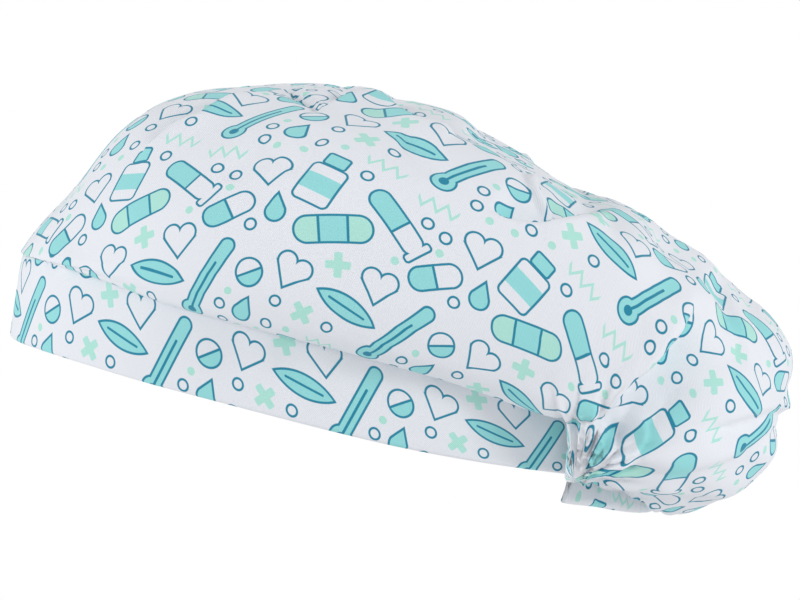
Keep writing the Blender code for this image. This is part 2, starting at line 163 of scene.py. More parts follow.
# Folds laid into the crown, one row each: the line of the fold, the width of its left and right
# sides along that line, its depth (above zero it stands out), and the share that the wearer's
# right side has of it.
FOLDS = {
    "puff crease": (((126, 40), (120.5, 26.5), (114.5, 19), (108.7, 12.4), (103.5, 8.6),
        (94.9, -0.7), (90.4, -7.9), (84, -17)), 15, 1.4, -11, 0.8),
    "puff lip": (((121, 36), (113.5, 25), (106, 16), (98.5, 8), (89, -3), (83, -12)),
        2.5, 10, 2.2, 0.8),
    "low pouch fold": (((110, -29), (119.4, -23.5), (129, -20.5), (137, -17.5), (145, -12.5),
        (156, -9), (164, -7)), 2, 8, -3.2, 0.7),
    "notch fold": (((124, -8.5), (135, -6.5), (145, -3.8), (152.5, -2.5), (161, -4), (168, -5)),
        1.8, 6, -4.2, 0.9),
    "pouch rib": (((104, -14), (116, -14.5), (130, -14), (146, -8)), 6, 7, 1.8, 0.6),
    "ripple": (((133, 50), (136, 41), (138, 32), (140.5, 22), (143, 12)), 1.8, 6, -2.6, 0.5),
    "back dent": (((141, 40), (146, 28), (150, 18), (153, 6)), 2.4, 6, -2.6, 0.5),
    "soft dent": (((118.5, 66.2), (116.5, 56.2), (114.5, 46.3), (111.2, 34.4)), 8, 9, -2.2, 0.6),
    "front tuck": (((-66, 78), (-59.3, 89.5), (-49.7, 95.6), (-43.1, 98.3), (-36.6, 102.8),
        (-29.3, 106.4), (-18, 108.3)), 0.6, 4, 3.3, 0.5),
    "tuck shade": (((-62, 86), (-51, 97), (-38, 104), (-20, 109)), 2.8, 0.7, -3.2, 0.5),
    "top pleat": (((-16, 110), (-10.3, 107), (-6, 104.6), (-2.4, 101.8)), 0.5, 2.6, -2.6, 0.3),
    "near ridge": (((-3.4, 101.8), (3.8, 104.6), (11.4, 106), (17.5, 104.6), (23.5, 99.9), (31, 95),
        (38.5, 92.8), (42.5, 89.5)), 0.6, 4.5, 3.4, 0.4),
    "ridge hollow": (((-1, 105), (6, 107.5), (14, 108), (20, 105), (27, 99.5), (36, 95.8),
        (44, 91.5), (52, 87)), 3.5, 0.7, -4.6, 0.4),
    "pinch": (((66.4, 80), (67.6, 77), (69.3, 74), (72.4, 70.7), (77, 66.5)), 3.2, 0.9, 2.8, 0.6),
    "pinch hollow": (((68.6, 80.5), (71, 76), (74.6, 72.2), (81, 69.5)), 3.4, 1.2, -3, 0.6),
    "pouch valley": (((52, 69), (59, 66.3), (66, 65), (72.4, 65), (79, 66.2), (85.1, 67.9),
        (91, 69.2), (100, 68.7)), 8, 1.2, -6, 0.7),
    "pouch crest": (((70, 61.5), (79, 63), (87, 65), (95, 66.5)), 2.2, 7, 2.2, 0.6),
    "gather edge": (((96, -22), (98, -20), (100.7, -16.9), (105.2, -11.4), (106.3, -6.6),
        (106.6, -1)), 4, 1.4, 1.9, 0.7),
    "gather one": (((84, -24.5), (85.6, -21.7), (88.7, -17.6), (91.8, -13.8), (92.8, -11.4),
        (95.2, -9), (98, -4)), 1.5, 1, -2.3, 0.8),
    "gather two": (((86.5, -24), (88, -22.1), (91.8, -19.3), (95.2, -15.9), (97.3, -12.1),
        (98.3, -9.7), (100.5, -4)), 1.7, 1.1, -2.3, 0.8),
    "gather three": (((86, -26), (88.7, -24.8), (92.8, -23.1), (95.9, -21.7), (101, -20.5),
        (108, -17)), 1.9, 1.2, -2.3, 0.8),
    "gather four": (((84, -21), (85.6, -16.5), (87, -12.5), (87.6, -8)), 1.2, 1.2, -1.8, 0.8),
    "under fold": (((83.8, -23.8), (92.8, -26.2), (100.7, -28.6), (105.2, -31), (116.6, -32.1),
        (135.6, -32.8), (146, -30)), 1.4, 5, -2.2, 0.8),
    "soft dent one": (((-37, 78), (-28, 83), (-18, 92)), 4, 5, -1.7, 0.6),
    "soft dent two": (((-15, 79), (-8, 86), (-4, 96)), 4, 4, -1.7, 0.6),
    "soft dent three": (((22, 91), (30, 86), (40, 79)), 4, 5, -1.7, 0.6),
    "flank dent": (((-38.5, 60.2), (-29.3, 67), (-18.8, 72.4)), 9, 9, -1.2, 0.6),
    "pouch end dent": (((144, 5), (154, 6), (164, 6.5), (176, 6.5)), 6, 6, -3, 1),
    "pouch end swell": (((140, -17), (152, -15), (162, -15), (176, -15)), 6, 6, 2.6, 1),
    "pouch shoulder": (((134, 30), (144, 27), (154, 24), (166, 20)), 8, 8, 2.2, 1),
    "shoulder dent": (((106, 68), (116, 61.5), (125, 55), (134, 47.5), (142, 40), (148, 33)),
        8, 7, -2, 1),
    "brow swell": (((-108, 52), (-96, 68), (-84, 82), (-70, 95), (-50, 108)), 10, 10, 2.3, 1),
    "crest dent": (((44, 99), (52, 95), (60, 90.5), (68, 85.5), (78, 79), (88, 74)), 7, 5, -2.8, 1),
    "brow dent": (((-92, 52), (-78, 60), (-66, 62)), 9, 9, -0.8, 0.6),
}

# Steps between two points of a fold's line, and the share of it over which each end fades out
LINE_STEPS = 6
FOLD_FADE = 0.22

# Folds fade out where the cloth turns away from the side view, between these shares of facing it.
# They run on into the outline at the back, at the front and over the crest: the places between
# which that comes in, and for the crest goes out again. The folds of the two sides pass into
# each other within MIDDLE_BLEND of the middle. All are millimetres but the first.
FACING = (0.0, 0.17)
BACK_FACING = (118.0, 144.0)
FRONT_FACING = (48.0, 72.0)
CREST_FACING = (42.0, 56.0, 84.0, 100.0)
MIDDLE_BLEND = 14.0

# Pleats that fan out from each end of the band: how many to a full turn, the distances in
# millimetres between which they rise and fall away, and their depth. FAN_SECTOR holds the
# directions, in degrees, and FAN_SIDE the distances from the middle between which they lie.
FAN_CENTRE = (82.1, -23.1)
FAN_SECTOR = (-52.0, -28.0, 92.0, 122.0)
FANS = (
    (30, 1.5, 4.0, 12.0, 28.0, 4.0),
    (17, 9.0, 15.0, 22.0, 42.0, 2.6),
    (9, 18.0, 28.0, 32.0, 66.0, 1.8),
)
FAN_SIDE = (24.0, 40.0)

# The mean of a pleat's rounded ribs, taken off so that they stand out and in alike
PLEAT_MEAN = 0.62

# The fans' pleats wander. SWAY is by direction: how far, how many waves to a full turn, and its
# shift from fan to fan. RIPPLE runs outwards too: how far, millimetres out to a radian, and waves
# to a full turn. FAN_SHIFT moves each fan on, and FAR_SHIFT the wearer's right side. How far they
# move is told in radians, of which a pleat has pi.
FAN_SWAY, FAN_SWAY_WAVES, FAN_SWAY_SHIFT = 0.45, 3.1, 1.7
FAN_RIPPLE, FAN_RIPPLE_LENGTH, FAN_RIPPLE_WAVES = 0.25, 6.0, 5.0
FAN_SHIFT = 1.1
FAR_SHIFT = 1.3

# Low down, folds lift the cloth more to the side than squarely off it: that share, the heights
# in the side view between which it fades away, and the distances from the middle between which
# it comes in
SIDE_SHARE = 0.55
SIDE_SHARE_HEIGHTS = (0.0, 36.0)
SIDE_SHARE_MIDDLE = (6.0, 34.0)

# Cloth taken up by those gathers, how far out they take it up, and the distance within which
# its direction isn't told, in millimetres
GATHERED_CLOTH = 15.0
GATHERED_REACH = 55.0
GATHERED_CORE = 0.5

# Pleats that rise from the casing round the nape, which fade out over an end share of the way
# round. SWAY and RIPPLE say how they wander: by how many radians, and how fast along the casing
# and up the cloth.
NAPE_PLEATS = 15
NAPE_PLEAT_DEPTH = 1.3
NAPE_PLEAT_REACH = (3.0, 12.0, 20.0, 52.0)
NAPE_PLEAT_ENDS = 0.12
NAPE_SWAY, NAPE_SWAY_WAVES, NAPE_SWAY_START = 0.5, 7.0, 0.6
NAPE_RIPPLE, NAPE_RIPPLE_LENGTH, NAPE_RIPPLE_WAVES = 0.2, 9.0, 11.0

# Soft waves of the whole crown: their seed, their number and their shortest and longest length
# in millimetres, and the angles between which the smooth front passes into the loose back
CROWN_WAVES = (7, 9, 26.0, 70.0)
LOOSE_ANGLES = (95.0, 150.0)

# The seam holds the cloth flat: no fold up to SEAM_HOLD from it, and full folds from SEAM_FREE
# on, or from DRAPE_FREE on where the crown comes down over the casing, in millimetres
SEAM_HOLD = 0.8
SEAM_FREE = 9.0
DRAPE_FREE = 3.6

# Columns and rings in each stretch of the half that is laid flat to place the print, and where
# the print starts on the wearer's right half, in millimetres
FLAT_COLUMNS = 61
FLAT_RINGS = (1, 1, 1, 1, 2, 4, 4, 5, 5)
FLAT_ROUNDS = 60
RIGHT_PRINT_PLACE = (41.0, 23.0)


def mix(a, b, share):
    """The value that lies share of the way from a to b."""
    return a + (b - a) * share


def ease(value, low, high):
    """0 below low, 1 above high, with a smooth rise between them."""
    share = np.clip((value - low) / (high - low), 0.0, 1.0)
    return share * share * (3.0 - 2.0 * share)


def come_and_go(value, limits):
    """A smooth rise from 0 to 1 between the first two limits, and a fall between the last two."""
    return ease(value, *limits[:2]) * (1.0 - ease(value, *limits[2:]))


def spline(p0, p1, p2, p3, share):
    """Value between p1 and p2 on a smooth curve that passes through all four."""
    return 0.5 * (
        2.0 * p1
        + (p2 - p0) * share
        + (2.0 * p0 - 5.0 * p1 + 4.0 * p2 - p3) * share**2
        + (3.0 * p1 - p0 - 3.0 * p2 + p3) * share**3
    )


def turn_of(angles):
    """Degrees from the forehead, alike on both sides."""
    return np.abs((angles + 180.0) % 360.0 - 180.0)


def section(angles):
    """The named shares of the crown's section in each direction."""
    turn = turn_of(angles)
    last = len(SECTIONS) - 2
    row = np.clip(np.searchsorted(SECTIONS[:, 0], turn, side="left") - 1, 0, last)
    before = SECTIONS[np.where(row > 0, row - 1, 1)]
    after = SECTIONS[np.where(row < last, row + 2, last)]
    here, there = SECTIONS[row], SECTIONS[row + 1]
    share = ((turn - here[:, 0]) / (there[:, 0] - here[:, 0]))[:, None]
    values = spline(before, here, there, after, share)
    return dict(zip(SECTION_COLUMNS, values.T))


def heading(angles):
    """Unit directions away from the middle of the opening, as X and Y."""
    turn = np.radians(angles)
    return np.sin(turn), -np.cos(turn)


def rim_radius(angles):
    """Distance from the middle to the outside of the band at its lower edge."""
    x, y = heading(angles)
    return 1.0 / np.hypot(x / HALF_WIDTH, y / HALF_LENGTH)


def top_radius(angles):
    """Distance from the middle to the outside of the band at its upper edge."""
    return rim_radius(angles) - BAND_LEAN * np.maximum(np.cos(np.radians(angles)), 0.0) ** 2


def rim_height(angles):
    """Height of the band's lower edge, which slopes down towards the nape."""
    back = rim_radius(angles) * heading(angles)[1] / HALF_LENGTH
    lift = RIM_LIFT_BACK * ease(back, *RIM_LIFT_BACK_SHARES)
    lift = lift + RIM_LIFT_FRONT * ease(-back, *RIM_LIFT_FRONT_SHARES)
    return -RIM_DROP * back + RIM_EASE * back**3 + lift


def band_height(angles):
    """Height of the band above its lower edge."""
    turn = turn_of(angles)
    front = mix(BAND_HEIGHT_FRONT, BAND_HEIGHT_TEMPLE, ease(turn, 0.0, TEMPLE_ANGLE))
    narrowing = ease(turn, BAND_NARROWS_ANGLE, BAND_END_ANGLE) ** BAND_NARROWING
    return mix(front, BAND_HEIGHT_END, narrowing)


def seam_height(angles):
    """Height of the edge that the crown is sewn to: the band's, and the casing's at the nape."""
    down = ease(turn_of(angles), BAND_END_ANGLE, BAND_END_ANGLE + CASING_TAPER)
    return rim_height(angles) + mix(band_height(angles), CASING_RISE, down)


def crown_profile(angles):
    """Points of the crown's outside, as (distance out, height), from its seam to its top."""
    share = section(angles)
    seam_r, seam_z, rim_z = top_radius(angles), seam_height(angles), rim_height(angles)
    rise = CROWN_TOP - rim_z
    stand = SIDE_BULGE * share["side"] + POUCH_REACH * share["pouch"]
    spread = np.minimum(share["side"] + share["pouch"], 1.0)
    out = seam_r + mix(FLAT_ROLL, 1.0, spread) * ROLL_OUT
    belly = (out + stand, rim_z + share["belly_up"] * rise)
    out = out + (CASING_THICKNESS - BAND_THICKNESS) * share["pouch"]
    roll = ROLL_SAG * ease(stand, 0.0, SIDE_BULGE)
    turn = turn_of(angles)
    drape = ease(turn, *DRAPE_ANGLES)
    behind = np.clip((turn - BAND_END_ANGLE) / (180.0 - BAND_END_ANGLE), 0.0, 1.0)
    hang = NAPE_HANG * ease(behind, *NAPE_HANG_SHARES)
    low_out, turn_out, turn_down = (mix(*pair, drape) for pair in (LOW_OUT, TURN_OUT, TURN_DOWN))
    low_z = mix(seam_z + CLEARANCE - roll, rim_z - hang, drape)
    low = (mix(out, belly[0], low_out), low_z)
    points = [
        (seam_r - SEAM_TUCK, seam_z + CLEARANCE),
        (out, seam_z + CLEARANCE),
        (mix(out, low[0], turn_out), mix(seam_z + CLEARANCE, low[1], turn_down)),
        low,
        (mix(low[0], belly[0], HIP_OUT), mix(low[1], belly[1], HIP_UP)),
        belly,
    ]
    for name in ("flank", "shoulder", "ridge"):
        points.append((belly[0] * share[name + "_in"], rim_z + share[name + "_up"] * rise))
    points.append((np.zeros_like(seam_r), np.full_like(seam_r, CROWN_TOP)))
    return np.array(points).transpose(2, 0, 1)


def ring_places(ring_counts):
    """Place of each ring along the points of the section."""
    return np.concatenate([
        index + np.arange(count) / count for index, count in enumerate(ring_counts)
    ])


def crown_rings(angles, ring_counts):
    """Points at each ring of each direction: columns, rings, X Y Z. The pole isn't among them."""
    points = crown_profile(angles)
    beyond = crown_profile(angles + 180.0)[:, -2] * (-1.0, 1.0)
    before = np.stack((2 * points[:, 1, 0] - points[:, 2, 0], points[:, 1, 1]), axis=1)
    chain = np.concatenate((before[:, None], points[:, 1:], beyond[:, None]), axis=1)
    tuck = ring_counts[0]
    rings = [mix(points[:, 0], points[:, 1], step / tuck) for step in range(tuck)]
    for index, count in enumerate(ring_counts[1:], start=1):
        p0, p1, p2, p3 = (chain[:, index - 1 + k] for k in range(4))
        rings += [spline(p0, p1, p2, p3, step / count) for step in range(count)]
    r, z = np.stack(rings, axis=1).transpose(2, 0, 1)
    pull = GATHER_PULL * come_and_go(turn_of(angles), GATHER_PULL_ANGLES)
    low = come_and_go(ring_places(ring_counts), GATHER_PULL_RINGS)
    towards = np.where((angles % 360.0) < 180.0, -1.0, 1.0)
    x, y = heading(angles[:, None] + (towards * pull)[:, None] * low)
    return np.stack((x * r, y * r, z), axis=2)


def column_angles():
    """Directions of the cloth's columns, closest together round the ends of the band."""
    angles = []
    ends = [row[0] for row in COLUMN_STEPS[1:]] + [180.0]
    for (start, step), end in zip(COLUMN_STEPS, ends):
        count = round((end - start) / step)
        angles += [mix(start, end, index / count) for index in range(count)]
    return np.array(angles + [180.0] + [360.0 - angle for angle in reversed(angles[1:])])


def grid_normals(grid, pole):
    """Outward directions at the points of a closed grid of columns."""
    across = np.roll(grid, -1, axis=0) - np.roll(grid, 1, axis=0)
    rows = np.concatenate((grid[:, :1], grid, np.broadcast_to(pole, grid[:, :1].shape)), axis=1)
    normals = np.cross(across, rows[:, 2:] - rows[:, :-2])
    return normals / np.linalg.norm(normals, axis=2, keepdims=True)


def smooth_line(points):
    """A row of points with more between them, on a smooth curve through all."""
    points = np.array(points)
    chain = np.vstack((2 * points[0] - points[1], points, 2 * points[-1] - points[-2]))
    line = []
    for index in range(len(points) - 1):
        p0, p1, p2, p3 = chain[index:index + 4]
        line += [spline(p0, p1, p2, p3, step / LINE_STEPS) for step in range(LINE_STEPS)]
    return np.array(line + [points[-1]])


def nearest(line, places):
    """Share along a line and signed distance from it, left above zero, for each place."""
    best = np.full(len(places), np.inf)
    along, away = np.zeros(len(places)), np.zeros(len(places))
    for index, (a, b) in enumerate(zip(line, line[1:])):
        run, offset = b - a, places - a
        share = np.clip(offset @ run / (run @ run), 0.0, 1.0)
        gap = np.linalg.norm(offset - share[:, None] * run, axis=1)
        nearer = gap < best
        best = np.where(nearer, gap, best)
        side = np.sign(run[0] * offset[:, 1] - run[1] * offset[:, 0])
        along = np.where(nearer, (index + share) / (len(line) - 1), along)
        away = np.where(nearer, side * gap, away)
    return along, away


def fold_lift(places, farness):
    """How far the folds lift the cloth, in millimetres, at places of the side view."""
    lift = np.zeros(len(places))
    for points, left, right, depth, far_share in FOLDS.values():
        along, away = nearest(smooth_line(points), places)
        width = np.where(away > 0.0, left, right)
        fade = ease(along, 0.0, FOLD_FADE) * ease(1.0 - along, 0.0, FOLD_FADE)
        share = mix(1.0, far_share, farness)
        lift += depth * share * fade * np.exp(-((away / width) ** 2))
    return lift


def fan_lift(places, farness):
    """The pleats that fan out from the end of the band, in millimetres."""
    offset = places - FAN_CENTRE
    reach = np.linalg.norm(offset, axis=1)
    turn = np.arctan2(offset[:, 1], offset[:, 0])
    lift = np.zeros(len(places))
    for index, (count, *limits, depth) in enumerate(FANS):
        sway = FAN_SWAY * np.sin(FAN_SWAY_WAVES * turn + FAN_SWAY_SHIFT * index)
        sway += FAN_RIPPLE * np.sin(reach / FAN_RIPPLE_LENGTH + FAN_RIPPLE_WAVES * turn)
        phase = count * turn / 2 + index * FAN_SHIFT + FAR_SHIFT * farness + sway
        lift += depth * come_and_go(reach, limits) * (np.abs(np.cos(phase)) - PLEAT_MEAN)
    return lift * come_and_go(np.degrees(turn), FAN_SECTOR)


def nape_lift(angles, lengths):
    """The pleats that rise from the casing, in millimetres, by direction and way from the seam."""
    share = (angles - BAND_END_ANGLE) / (360.0 - 2 * BAND_END_ANGLE)
    window = come_and_go(share, (0.0, NAPE_PLEAT_ENDS, 1.0 - NAPE_PLEAT_ENDS, 1.0))
    sway = NAPE_SWAY * np.sin(NAPE_SWAY_WAVES * share + NAPE_SWAY_START)
    sway = sway + NAPE_RIPPLE * np.sin(lengths / NAPE_RIPPLE_LENGTH + NAPE_RIPPLE_WAVES * share)
    ribs = np.abs(np.cos(math.pi * NAPE_PLEATS * share + sway)) - PLEAT_MEAN
    return NAPE_PLEAT_DEPTH * window * come_and_go(lengths, NAPE_PLEAT_REACH) * ribs


def side_heights(points):
    """Heights in the side view, in metres."""
    lean = np.abs(points[..., 0]) * math.sin(SIDE_VIEW_RISE)
    return points[..., 2] * math.cos(SIDE_VIEW_RISE) - lean


def sway_lift(points, seed, waves, shortest, longest):
    """A soft unevenness between about -1 and 1 over points given in metres."""
    rng = np.random.default_rng(seed)
    lift = np.zeros(points.shape[:-1])
    for _ in range(waves):
        way = rng.normal(size=3)
        way /= np.linalg.norm(way)
        length = rng.uniform(shortest, longest) * MM
        lift += np.sin(points @ way * (2 * math.pi / length) + rng.uniform(0, 2 * math.pi))
    return lift / math.sqrt(waves / 2)


def crown_cloth(sizes):
    """The crown's folded grid and pole, and its directions."""
    angles = column_angles()
    grid = crown_rings(angles, STRETCH_RINGS)
    pole = np.array((0.0, 0.0, CROWN_TOP))
    normals = grid_normals(grid, pole)
    steps = np.linalg.norm(np.diff(grid, axis=1), axis=2)
    lengths = np.concatenate((np.zeros((len(grid), 1)), np.cumsum(steps, axis=1)), axis=1) / MM

    outwards = np.zeros_like(normals)
    outwards[..., 0] = np.where(grid[..., 0] < 0.0, -1.0, 1.0)
    middle = np.abs(grid[..., 0]) / MM
    height = side_heights(grid) / MM
    back = grid[..., 1] / MM
    towards = normals[..., 0] * outwards[..., 0]
    facing = towards * math.cos(SIDE_VIEW_RISE) + normals[..., 2] * math.sin(SIDE_VIEW_RISE)
    facing = np.maximum(ease(facing, *FACING), ease(back, *BACK_FACING))
    facing = np.maximum(facing, ease(-back, *FRONT_FACING))
    facing = np.maximum(facing, come_and_go(back, CREST_FACING))
    places = np.stack((back.ravel(), height.ravel()), axis=1)
    farness = ease(-grid[..., 0].ravel() / MM, -MIDDLE_BLEND, MIDDLE_BLEND)
    side_lift = fold_lift(places, farness).reshape(facing.shape) * facing
    side_lift += fan_lift(places, farness).reshape(facing.shape) * ease(middle, *FAN_SIDE)
    low = SIDE_SHARE * (1.0 - ease(height, *SIDE_SHARE_HEIGHTS)) * ease(middle, *SIDE_SHARE_MIDDLE)
    ways = mix(normals, outwards, low[..., None])
    ways /= np.linalg.norm(ways, axis=2, keepdims=True)

    loose = ease(turn_of(angles), *LOOSE_ANGLES)[:, None]
    unevenness = mix(sizes.front_unevenness, sizes.back_unevenness, loose) / MM
    lift = nape_lift(angles[:, None], lengths) + unevenness * sway_lift(grid, *CROWN_WAVES)
    free = mix(SEAM_FREE, DRAPE_FREE, ease(turn_of(angles), *DRAPE_ANGLES))
    away = ease(lengths, SEAM_HOLD, free[:, None])
    pole_lift = (side_lift + lift)[:, -1].mean()
    moved = ways * (side_lift * away)[..., None] + normals * (lift * away)[..., None]
    return angles, grid + moved * MM, pole + (0.0, 0.0, pole_lift * MM)


def flat_half():
    """The wearer's left half of the crown laid flat in millimetres, by direction and ring."""
    angles = np.linspace(0.0, 180.0, FLAT_COLUMNS)
    grid = crown_rings(angles, FLAT_RINGS)[:, 1:]
    rings = grid.shape[1]
    vertices = [tuple(point) for point in grid.reshape(-1, 3)] + [(0.0, 0.0, CROWN_TOP)]
    faces = []
    for column in range(len(angles) - 1):
        here, there = column * rings, (column + 1) * rings
        faces += [(here + k, there + k, there + k + 1, here + k + 1) for k in range(rings - 1)]
        faces.append((here + rings - 1, there + rings - 1, len(vertices) - 1))
    mesh = bpy.data.meshes.new("half pattern")
    mesh.from_pydata(vertices, [], faces)
    mesh.uv_layers.new(name="cloth")
    half = bpy.data.objects.new("half pattern", mesh)
    bpy.context.collection.objects.link(half)
    bpy.ops.object.select_all(action="DESELECT")
    half.select_set(True)
    bpy.context.view_layer.objects.active = half
    bpy.ops.object.mode_set(mode="EDIT")
    bpy.ops.mesh.select_all(action="SELECT")
    bpy.ops.uv.unwrap(method="MINIMUM_STRETCH", iterations=FLAT_ROUNDS, margin=0.0)
    bpy.ops.object.mode_set(mode="OBJECT")
    flat = np.zeros((len(vertices), 2))
    for loop, corner in zip(mesh.loops, mesh.uv_layers["cloth"].data):
        flat[loop.vertex_index] = corner.uv
    ends = np.array([edge.vertices for edge in mesh.edges])
    solid = np.array(vertices)
    true = np.linalg.norm(solid[ends[:, 0]] - solid[ends[:, 1]], axis=1)
    drawn = np.linalg.norm(flat[ends[:, 0]] - flat[ends[:, 1]], axis=1)
    flat *= (true @ drawn) / (drawn @ drawn) / MM
    bpy.data.objects.remove(half)
    bpy.data.meshes.remove(mesh)

    # Turned so that the seam at the side runs level, with the middle of that seam as its start
    body, pole = flat[:-1].reshape(len(angles), rings, 2), flat[-1]
    front, side, back = (len(angles) // 4 * quarter for quarter in (1, 2, 3))
    run = body[back, 0] - body[front, 0]
    cosine, sine = run / np.linalg.norm(run)
    level = np.array(((cosine, -sine), (sine, cosine)))
    body, pole = body @ level, pole @ level
    if pole[1] < body[side, 0, 1]:
        body, pole = body * (1.0, -1.0), pole * (1.0, -1.0)
    start = body[side, 0]
    return angles, ring_places(FLAT_RINGS)[1:], body - start, pole - start


def crown_map(angles):
    """Place on the cloth, in millimetres, of each grid point on either half, and of the pole."""
    known_angles, known_places, body, pole = flat_half()
    places = ring_places(STRETCH_RINGS)
    turn = turn_of(angles)
    by_angle = np.empty((len(angles), body.shape[1] + 1, 2))
    for ring in range(body.shape[1]):
        for axis in range(2):
            by_angle[:, ring, axis] = np.interp(turn, known_angles, body[:, ring, axis])
    by_angle[:, -1] = pole
    known = np.append(known_places, len(STRETCH_RINGS))
    cloth = np.empty((len(angles), len(places), 2))
    for column in range(len(angles)):
        for axis in range(2):
            cloth[column, :, axis] = np.interp(places, known, by_angle[column, :, axis])
    return cloth, pole


def gathered_cloth(angles, cloth):
    """The map with more cloth drawn together round each end of the band."""
    grid = crown_rings(angles, STRETCH_RINGS)
    reach = np.hypot(
        grid[..., 1] / MM - FAN_CENTRE[0], side_heights(grid) / MM - FAN_CENTRE[1])
    gathered = cloth.copy()
    for side in (grid[..., 0] > 0.0, grid[..., 0] <= 0.0):
        centre = cloth[side][np.argmin(reach[side])]
        away = cloth - centre
        away /= np.maximum(np.linalg.norm(away, axis=2, keepdims=True), GATHERED_CORE)
        more = GATHERED_CLOTH * np.exp(-reach / GATHERED_REACH)
        gathered = np.where(side[..., None], cloth + away * more[..., None], gathered)
    return gathered


def add_piece(name, vertices, faces, corners, materials):
    """A smooth mesh with its place on the cloth, in millimetres, as its UV map."""
    mesh = bpy.data.meshes.new(name)
    mesh.from_pydata(vertices.tolist(), [], faces)
    cloth = mesh.uv_layers.new(name="cloth")
    cloth.uv.foreach_set("vector", np.concatenate([c.ravel() for c in corners]))
    mesh.shade_smooth()
    for material in materials:
        mesh.materials.append(material)
    piece = bpy.data.objects.new(name, mesh)
    bpy.context.collection.objects.link(piece)
    return piece


def grid_faces(columns, rings, closed):
    """Quads of a grid whose points are listed ring by ring in each column."""
    column = np.arange(columns if closed else columns - 1)
    here = (column * rings)[:, None] + np.arange(rings - 1)
    there = ((column + 1) % columns * rings)[:, None] + np.arange(rings - 1)
    return np.stack((here, there, there + 1, here + 1), axis=2).reshape(-1, 4)


def sew_crown(sizes, colours):
    """The hollow bag of cloth, one open sheet with a thin wall."""
    angles, grid, pole = crown_cloth(sizes)
    columns, rings = grid.shape[:2]
    vertices = np.vstack((grid.reshape(-1, 3), pole))
    quads = grid_faces(columns, rings, closed=True)
    tops = np.arange(columns) * rings + rings - 1
    caps = np.stack((tops, np.roll(tops, -1), np.full(columns, len(vertices) - 1)), axis=1)

    cloth, pole_place = crown_map(angles)
    cloth = gathered_cloth(angles, cloth)
    shift = np.array((sizes.print_shift_u, sizes.print_shift_v)) / MM
    left = cloth + shift, pole_place + shift
    right = [place * (-1.0, 1.0) + RIGHT_PRINT_PLACE for place in (cloth, pole_place)]
    corners, cap_corners = [], []
    for column in range(columns):
        side, top = left if column < columns // 2 else right
        a, b = side[column], side[(column + 1) % columns]
        corners.append(np.stack((a[:-1], b[:-1], b[1:], a[1:]), axis=1).reshape(-1, 2))
        cap_corners.append(np.stack((a[-1], b[-1], top)))
    crown = add_piece(
        "printed_crown", vertices, quads.tolist() + caps.tolist(), corners + cap_corners,
        [
            cloth_material("printed cotton twill, crown", colours, colours.ground),
            reverse_material(colours),
        ],
    )
    wall = crown.modifiers.new("cloth wall", "SOLIDIFY")
    wall.thickness = CLOTH
    wall.offset = -1.0
    wall.material_offset = 1
    wall.material_offset_rim = 0
    return crown


# The print repeats every PRINT_REPEAT millimetres along the cloth and up it. One row for each
# motif: its kind, its place in the repeat and how many degrees it is turned. Small rings and dots
# fill the gaps between them.
PRINT_REPEAT = 67.0
MOTIF_COLUMNS = ("kind", "along", "up", "turn")
MOTIFS = (
    ("thermometer", 16.7, 21.4, 62.0),
    ("test_tube", 3.1, 55.4, -35.0),
    ("bottle", 45.7, 60.9, 78.0),
    ("plaster", 53.4, 45.4, 20.0),
    ("capsule", 20.1, 44.7, 35.0),
    ("heart", 29.4, 60.4, 10.0),
    ("heart", 45.0, 29.0, -18.0),
    ("heart", 5.2, 33.7, 4.0),
    ("leaf", 65.0, 23.2, -14.0),
    ("tablet", 31.4, 25.5, 30.0),
    ("drop", 34.9, 47.1, 95.0),
    ("drop", 30.8, 12.7, 70.0),
    ("plus", 58.2, 35.1, 15.0),
    ("plus", 51.4, 16.7, 40.0),
    ("pulse", 12.4, 66.5, 0.0),
    ("pulse", 60.9, 6.1, -12.0),
)
RING_PLACES = (
    (22.3, 13.6), (57.0, 66.7), (60.8, 14.5), (11.6, 59.5), (18.1, 57.8), (28.4, 40.5),
    (39.7, 9.3), (22.3, 6.7), (41.8, 18.3),
)
DOT_PLACES = ((18.3, 52.3), (47.1, 9.0), (25.2, 18.6), (35.6, 4.8), (27.5, 3.8), (6.9, 43.4))
RING_RADIUS = 1.8
DOT_RADIUS = 1.35
LINE_WIDTH = 0.76
INK_EDGE = 0.13

# The rib of such twill lies about 0.4 mm apart. It is drawn at 0.55 mm, the finest that shows.
# Slubs are the thicker stretches of its threads, SLUB_SCALE of them to a millimetre.
TWILL_PITCH = 0.55
TWILL_SHADE = 0.93
SLUB_SCALE = 1.6
SLUB_SHADE = 0.985
TWILL_RELIEF = 0.00010

# How much of the print shows through to the wrong side
SHOW_THROUGH = 0.16


def linear(code):
    """Linear colour of an sRGB hex value."""
    parts = [int(code[index:index + 2], 16) / 255 for index in (1, 3, 5)]
    parts = [v / 12.92 if v <= 0.04045 else ((v + 0.055) / 1.055) ** 2.4 for v in parts]
    return (*parts, 1.0)


def add(tree, kind, *values, **settings):
    """A new node with its settings and its open inputs set or linked in order. Gives its output."""
    node = tree.nodes.new("ShaderNode" + kind)
    for name, value in settings.items():
        setattr(node, name, value)
    for socket, value in zip([s for s in node.inputs if s.enabled], values):
        if isinstance(value, bpy.types.NodeSocket):
            tree.links.new(value, socket)
        elif value is not None:
            socket.default_value = value
    return next((s for s in node.outputs if s.enabled), None)


def smaller(tree, *distances):
    """The smallest of some distances, which joins their shapes."""
    least = distances[0]
    for distance in distances[1:]:
        least = add(tree, "Math", least, distance, operation="MINIMUM")
    return least


def within(tree, *distances):
    """The largest of some distances, which keeps what all their shapes share."""
    most = distances[0]
    for distance in distances[1:]:
        most = add(tree, "Math", most, distance, operation="MAXIMUM")
    return most


